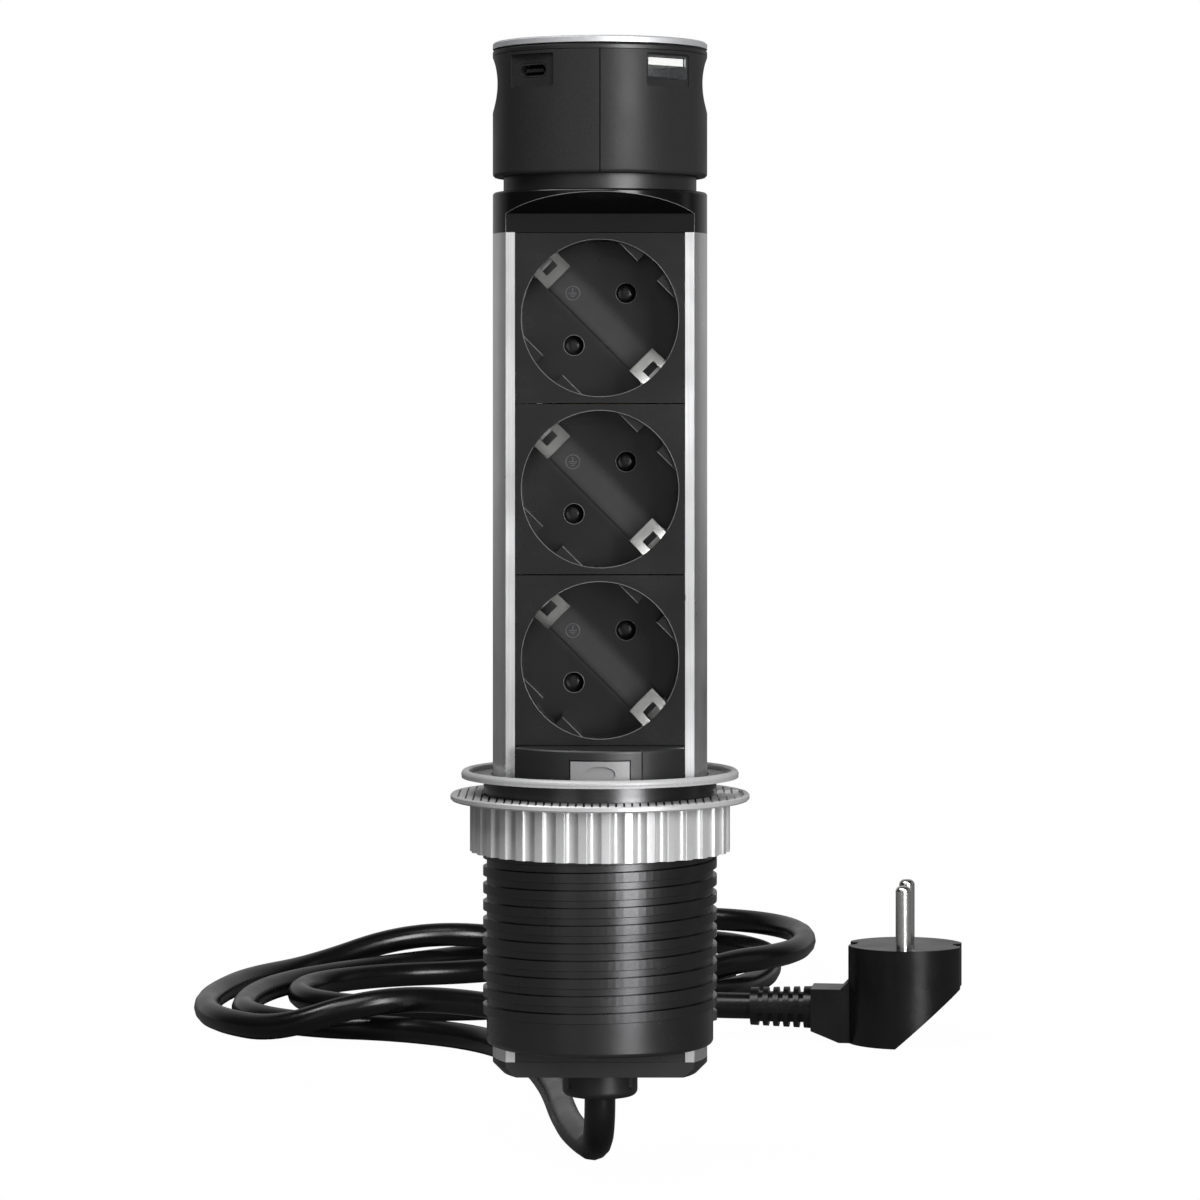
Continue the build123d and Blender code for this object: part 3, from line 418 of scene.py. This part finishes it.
def make_finishes():
    """Every finish of the object, by the record's slot that it serves, and one for the edge lines."""
    return {
        # Black anodised aluminium over a blasted tube: a dark, even satin
        "black_aluminium_tube": finish(
            "blasted_black_anodised_aluminium", "#585859", 0.25, 1.0, grain=0.35, relief=0.003, mottle=0.08
        ),
        # Pressed zinc ring with grey satin paint: even, with a soft broad highlight
        "grey_ring": finish("grey_satin_paint_on_zinc", "#a2a2a3", 0.42, 0.1, grain=0.4, relief=0.006),
        # Moulded ABS with silver pigment: pale, with long soft lights along the flutes
        "grey_nut_plastic": finish(
            "silver_pigmented_abs", "#c0c0c1", 0.34, 0.4, grain=0.35, relief=0.006, mottle=0.06
        ),
        # Extruded aluminium, clear anodised: fine lines along the length of the tower
        "anodised_profile": finish(
            "extruded_anodised_aluminium",
            "#ededee",
            0.31,
            1.0,
            grain=0.35,
            relief=0.006,
            stretch=(1, 1, 0.01),
            mottle=0.08,
        ),
        # Polished ABS: deep black with sharp reflections
        "black_gloss_plastic": finish(
            "polished_black_abs", "#0b0b0c", 0.2, specular=0.3, grain=1.5, relief=0.002, rough_change=0.03
        ),
        # Socket mouldings of black polycarbonate with a fine spark-eroded grain and a painted highlight
        # band in each well
        "black_socket_plastic": finish(
            "black_polycarbonate_moulding", "#0c0c0d", 0.25, grain=0.45, relief=0.012, extra=highlight_band
        ),
        # Black ABS of the chin, panel, caps, gland and neck: a satin a little greyer than the sockets
        "black_plastic": finish("satin_black_abs", "#1a1a1b", 0.4, grain=0.5, relief=0.012),
        # Head shell of ABS with a leather-fine mould texture and its parting line
        "head_textured_plastic": finish(
            "textured_black_abs", "#262627", 0.38, specular=0.14, grain=0.5, relief=0.03, extra=mould_line
        ),
        # Lathe-turned steel disc: fine rings that fan the light
        "brushed_disc": finish(
            "turned_stainless_steel", "#a0a1a3", 0.5, 0.6, grain=0.4, relief=0.004, extra=turned_rings
        ),
        # Grey ABS of the release button, softly polished by thumbs
        "button_grey_plastic": finish(
            "grey_abs_button", "#7c7c7d", 0.34, grain=0.4, relief=0.006, mottle=0.06
        ),
        # Drawn spring wire, zinc-plated screws and the clip on the head's stem
        "spring_steel": finish("drawn_spring_steel", "#a0a1a3", 0.32, 1.0, grain=0.3, relief=0.004),
        # Nickel-plated strip and pins: bright with faint rolling lines
        "plated_strip": finish(
            "nickel_plated_brass",
            "#f2f2f0",
            0.22,
            1.0,
            grain=0.3,
            relief=0.003,
            stretch=(1, 1, 0.1),
            mottle=0.05,
        ),
        # Stamped brass of the busbars, a little tarnished
        "brass": finish("stamped_brass_strip", "#b8924a", 0.3, 1.0, grain=0.6, relief=0.004, mottle=0.15),
        # White polyamide of the contact carriers, slightly waxy
        "white_carrier_plastic": finish(
            "white_polyamide", "#cfcfca", 0.5, grain=0.4, relief=0.01, mottle=0.04
        ),
        # Dark polyamide of the shutters, glossy behind the pin holes
        "grey_shutter_plastic": finish(
            "dark_polyamide_shutters", "#161617", 0.24, grain=0.4, relief=0.7, extra=shutter_domes
        ),
        # Grey lines of the earth sign, and along the edges of the socket mouldings and the collar's arch,
        # where the grey is a painted highlight
        "edge_highlights_and_earth_sign": finish("painted_edge_highlights_and_earth_sign", "#606062", 0.3, grain=0.3, relief=0.004),
        # White LCP tongue of the USB-A port
        "white_tongue_plastic": finish(
            "white_lcp_tongue", "#d6d6d4", 0.4, grain=0.3, relief=0.005, mottle=0.04
        ),
        # Folded tinned steel of the port shells
        "usb_shell_steel": finish(
            "tinned_port_steel",
            "#b9babc",
            0.26,
            1.0,
            grain=0.3,
            relief=0.003,
            stretch=(0.2, 1, 1),
            mottle=0.05,
        ),
        # Green solder lacquer over copper tracks
        "board_laminate": finish(
            "lacquered_board", "#174d24", 0.3, grain=0.5, relief=0.01, extra=copper_tracks
        ),
        # Yellow polyester tape wound around the transformer
        "transformer_tape": finish(
            "yellow_polyester_tape", "#c9a436", 0.35, grain=1.1, relief=0.02, stretch=(0.02, 0.02, 1)
        ),
        # Shrunk vinyl sleeve of the capacitor
        "capacitor_sleeve": finish("dark_vinyl_sleeve", "#141c33", 0.25, grain=1.0, relief=0.006),
        # Black PVC of the lead and the plug: semi-gloss, faintly uneven
        "cord_rubber": finish(
            "black_pvc", "#0d0d0e", 0.25, specular=0.4, grain=1.6, relief=0.02, rough_change=0.06
        ),
        # Silicone insulation of the three inner wires
        "live_insulation": finish("brown_wire_insulation", "#4b2a17", 0.4, grain=0.8, relief=0.01),
        "neutral_insulation": finish("blue_wire_insulation", "#244a8f", 0.4, grain=0.8, relief=0.01),
        "earth_insulation": finish("green_yellow_wire_insulation", "#6f8f1e", 0.4, grain=0.8, relief=0.01),
    }


# Pieces that the solids leave to the looks


def sleeve_thread(material):
    """The one-start screw thread around the sleeve, spun from its section."""
    bm = bmesh.new()
    section = (
        (THREAD_CORE_R, -THREAD_ROOT_W / 2),
        (THREAD_CREST_R, -THREAD_CREST_W / 2),
        (THREAD_CREST_R, THREAD_CREST_W / 2),
        (THREAD_CORE_R, THREAD_ROOT_W / 2),
    )
    corners = [bm.verts.new((r * MM, 0, (THREAD_LOW_Z + z) * MM)) for r, z in section]
    face = bm.faces.new(corners)
    steps_a_turn = 96
    steps = steps_a_turn * THREAD_TURNS
    bmesh.ops.spin(
        bm,
        geom=[face] + list(face.edges) + list(face.verts),
        cent=(0, 0, 0),
        axis=(0, 0, 1),
        dvec=(0, 0, THREAD_PITCH / steps_a_turn * MM),
        angle=2 * math.pi * THREAD_TURNS,
        steps=steps,
    )
    return keep(bm, "sleeve_thread", "base", material)


def round_line(centre, radius, y, start=0, end=360):
    """Points on an arc in a plane that faces the front, from one turn to another in degrees."""
    steps = max(2, round((end - start) / ARC_STEP_TURN))
    turns = [math.radians(start + (end - start) * step / steps) for step in range(steps + 1)]
    return [(centre[0] + radius * math.cos(t), y, centre[1] + radius * math.sin(t)) for t in turns]


def earth_sign(centre_z):
    """The lines of the general earth sign on the band: a ring, a stem and three bars."""
    x, z = EARTH_SIGN_PLACE
    z += centre_z
    lines = [round_line((x, z), EARTH_SIGN_R, BAND_Y)]
    lines.append([(x, BAND_Y, z + EARTH_SIGN_R * EARTH_STEM_SHARE), (x, BAND_Y, z)])
    for row, half_share in enumerate(EARTH_BAR_SHARES):
        bar_z = z - row * EARTH_SIGN_R * EARTH_BAR_STEP_SHARE
        half = EARTH_SIGN_R * half_share
        lines.append([(x - half, BAND_Y, bar_z), (x + half, BAND_Y, bar_z)])
    return lines


def well_lines(centre_z):
    """The lines of one well: the earth sign, and the painted highlights along the edges of its rim, pin
    holes and keying ribs.
    """
    middle = (0, centre_z)
    lines = earth_sign(centre_z)
    reach = math.sqrt(WELL_R**2 - RIB_CHORD**2)
    for side in (0, 180):
        start = CLIP_TURN + CLIP_GAP_TURN + side
        end = CLIP_TURN + 180 - CLIP_GAP_TURN + side
        lines.append(round_line(middle, WELL_R, WELL_RIM_Y, start, end))
        turn = math.radians(PIN_TURN + side)
        out = (math.cos(turn), math.sin(turn))
        pin = (PIN_R * out[0], centre_z + PIN_R * out[1])
        lines.append(round_line(pin, PIN_HOLE_R, WELL_FLOOR_Y))
        for hand in (-1, 1):
            rib = []
            for along in (hand * RIB_GAP / 2, hand * reach):
                x = RIB_CHORD * out[0] - along * out[1]
                rib.append((x, RIB_TOP_Y, centre_z + RIB_CHORD * out[1] + along * out[0]))
            lines.append(rib)
    return lines


def arch_line():
    """The painted highlight line along the edge of the collar's arch, up one side, over the top socket and
    down again.
    """
    reach = math.sqrt(COLLAR_R**2 - ARCH_FLAT_Y**2)
    line = [(-reach, -ARCH_FLAT_Y, ARCH_LOW_Z)]
    steps = 40
    for step in range(steps + 1):
        x = reach * (2 * step / steps - 1)
        depth = math.sqrt(COLLAR_R**2 - x**2)
        line.append((x, -depth, ARCH_LOW_Z + ARCH_FLAT_H + ARCH_SLOPE * (depth - ARCH_FLAT_Y)))
    line.append((reach, -ARCH_FLAT_Y, ARCH_LOW_Z))
    return line


def fine_lines(name, lines, body, material):
    """Thin round lines along lists of points, as one piece on a body."""
    curve = bpy.data.curves.new(name, "CURVE")
    curve.dimensions = "3D"
    for line in lines:
        spline = curve.splines.new("POLY")
        spline.points.add(len(line) - 1)
        for point, place in zip(spline.points, line):
            point.co = (place[0] * MM, place[1] * MM, place[2] * MM, 1)
    curve.bevel_depth = EDGE_LINE_R * MM
    curve.bevel_resolution = 2
    curve.materials.append(material)
    piece = bpy.data.objects.new(name, curve)
    bpy.context.scene.collection.objects.link(piece)
    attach(piece, body)
    return piece


def mains_lead(material):
    """The free lead, from the gland to the plug, on one smooth line."""
    curve = bpy.data.curves.new("mains_lead", "CURVE")
    curve.dimensions = "3D"
    spline = curve.splines.new("NURBS")
    spline.points.add(len(CORD_ROUTE) - 1)
    for point, (x, y, height) in zip(spline.points, CORD_ROUTE):
        point.co = (x * MM, y * MM, (FLOOR_Z + height) * MM, 1)
    spline.order_u = 3
    spline.use_endpoint_u = True
    curve.resolution_u = 10
    curve.bevel_depth = CORD_D / 2 * MM
    curve.bevel_resolution = 5
    curve.use_fill_caps = True
    curve.materials.append(material)
    lead = bpy.data.objects.new("mains_lead", curve)
    bpy.context.scene.collection.objects.link(lead)
    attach(lead, "tower")
    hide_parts("cord")
    return lead


# Studio


def aim(thing, target):
    """Turns a lamp or the camera to look at a point."""
    way = Vector(target) - thing.location
    thing.rotation_euler = way.to_track_quat("-Z", "Y").to_euler()


def soft_box(name, azimuth, height, distance, width, tall, power):
    """A rectangular lamp. Azimuth is 0 in front of the sockets and grows to their right."""
    turn = math.radians(azimuth)
    data = bpy.data.lights.new(name, "AREA")
    data.shape = "RECTANGLE"
    data.size = width
    data.size_y = tall
    data.energy = power
    lamp = bpy.data.objects.new(name, data)
    lamp.location = (math.sin(turn) * distance, -math.cos(turn) * distance, height)
    bpy.context.scene.collection.objects.link(lamp)
    aim(lamp, LAMP_TARGET)
    return lamp


def studio():
    """Camera, lamps, world and the pale floor."""
    scene = bpy.context.scene
    data = bpy.data.cameras.new("camera")
    data.lens = CAMERA_LENS
    data.sensor_width = CAMERA_SENSOR_W
    data.shift_y = -FRAME_DOWN_PX / FRAME_PX
    data.clip_end = CAMERA_REACH
    camera = bpy.data.objects.new("camera", data)
    camera.location = (0, -CAMERA_DISTANCE * MM, CAMERA_HEIGHT * MM)
    camera.rotation_euler = (math.radians(90), 0, 0)
    scene.collection.objects.link(camera)
    scene.camera = camera
    scene.view_settings.view_transform = "Standard"

    # A strong key from the right, dim lamps at the left, front and side, and two high ones for the tops
    soft_box("key_box", azimuth=30, height=0.25, distance=1.5, width=0.55, tall=1.5, power=43)
    soft_box("left_fill", azimuth=-32, height=0.25, distance=1.5, width=0.6, tall=1.5, power=2.0)
    soft_box("front_box", azimuth=-3, height=0.25, distance=1.5, width=0.5, tall=1.5, power=1.2)
    soft_box("right_strip", azimuth=105, height=0.2, distance=1.3, width=0.3, tall=1.6, power=0.5)
    soft_box("top_box", azimuth=-20, height=1.5, distance=0.8, width=1.0, tall=1.0, power=14)
    soft_box("left_high", azimuth=-75, height=1.5, distance=1.0, width=0.6, tall=0.6, power=12)

    world = bpy.data.worlds.new("studio")
    scene.world = world
    world.use_nodes = True
    tree = world.node_tree
    tree.nodes.clear()
    rays = add(tree, "ShaderNodeLightPath")
    seen = add(
        tree,
        "ShaderNodeMath",
        {0: rays.outputs["Is Camera Ray"], 1: rays.outputs["Is Transmission Ray"]},
        operation="MAXIMUM",
    )
    way = add(tree, "ShaderNodeTexCoord").outputs["Generated"]
    parts = add(tree, "ShaderNodeSeparateXYZ", {0: way})
    # Dark on the camera's side and lighter behind the part
    room = between(
        tree,
        parts.outputs["Y"],
        ROOM_FRONT_LIGHT,
        ROOM_BACK_LIGHT,
        ROOM_CHANGE_START_SHARE,
        ROOM_CHANGE_END_SHARE,
    )
    level = add(tree, "ShaderNodeMix", {0: seen.outputs[0], 2: room, 3: 1.0})
    light = add(tree, "ShaderNodeBackground", {"Color": (1, 1, 1, 1), "Strength": level.outputs[0]})
    add(tree, "ShaderNodeOutputWorld", {"Surface": light.outputs[0]})

    floor = floor_sheet()


def floor_material():
    """White seamless paper: bright to the camera, and it still takes soft shadows."""
    material, tree, place = start_material("white_paper")
    speckle = grain_height(tree, place, 2.0, (1, 1, 1))
    tint = mixed(tree, between(tree, speckle, 0, 1), colour("#f7f7f7"), colour("#fbfbfb"))
    rays = add(tree, "ShaderNodeLightPath")
    # The paper throws little light back on the part, as if it hung far below
    tint = mixed(tree, rays.outputs["Is Camera Ray"], colour("#6a6a6a"), tint)
    paper = add(tree, "ShaderNodeBsdfPrincipled", {"Base Color": tint, "Roughness": 0.9})
    white = add(tree, "ShaderNodeEmission", {"Color": (1, 1, 1, 1), "Strength": 1.0})
    # To the camera it fades to pure white behind the part, so that no horizon shows
    parts = add(tree, "ShaderNodeSeparateXYZ", {0: place})
    depth = parts.outputs["Y"]
    fade = between(tree, depth, PAPER_NEAR_SHARE, 1.0, PAPER_FADE_START_Y, PAPER_FADE_END_Y)
    factors = {0: rays.outputs["Is Camera Ray"], 1: fade}
    share = add(tree, "ShaderNodeMath", factors, operation="MULTIPLY")
    shaders = {0: share.outputs[0], 1: paper.outputs[0], 2: white.outputs[0]}
    both = add(tree, "ShaderNodeMixShader", shaders)
    add(tree, "ShaderNodeOutputMaterial", {"Surface": both.outputs[0]})
    return material


def floor_sheet():
    """The paper on the floor."""
    bm = bmesh.new()
    bmesh.ops.create_grid(bm, x_segments=1, y_segments=1, size=PAPER_HALF_W)
    bmesh.ops.translate(bm, verts=bm.verts, vec=(0, PAPER_MIDDLE_Y, FLOOR_Z * MM))
    mesh = bpy.data.meshes.new("floor")
    bm.to_mesh(mesh)
    bm.free()
    mesh.materials.append(floor_material())
    floor = bpy.data.objects.new("floor", mesh)
    bpy.context.scene.collection.objects.link(floor)
    return floor


def dress_nodes(finishes):
    """Gives each solid of the part the finish of its slot."""
    for part in frame["record"]["subparts"]:
        solid = frame["nodes"][part["node"]]
        solid.data.materials.clear()
        solid.data.materials.append(finishes[part["material_slot"]])


finishes = make_finishes()
studio()
mains_lead(finishes["cord_rubber"])
dress_nodes(finishes)
sleeve_thread(finishes["black_aluminium_tube"])
# Thin grey lines as painted highlights along the arch and the wells' edges, with the earth sign in each
# well
arch = fine_lines("collar_arch_edge_highlight", [arch_line()], "tower", finishes["edge_highlights_and_earth_sign"])
for number in (1, 2, 3):
    middle_z = WELL_MIDDLE_Z + (number - 2) * WELL_PITCH
    edges = fine_lines(f"well_edge_highlights_and_earth_sign_{number}", well_lines(middle_z), "tower", finishes["edge_highlights_and_earth_sign"])
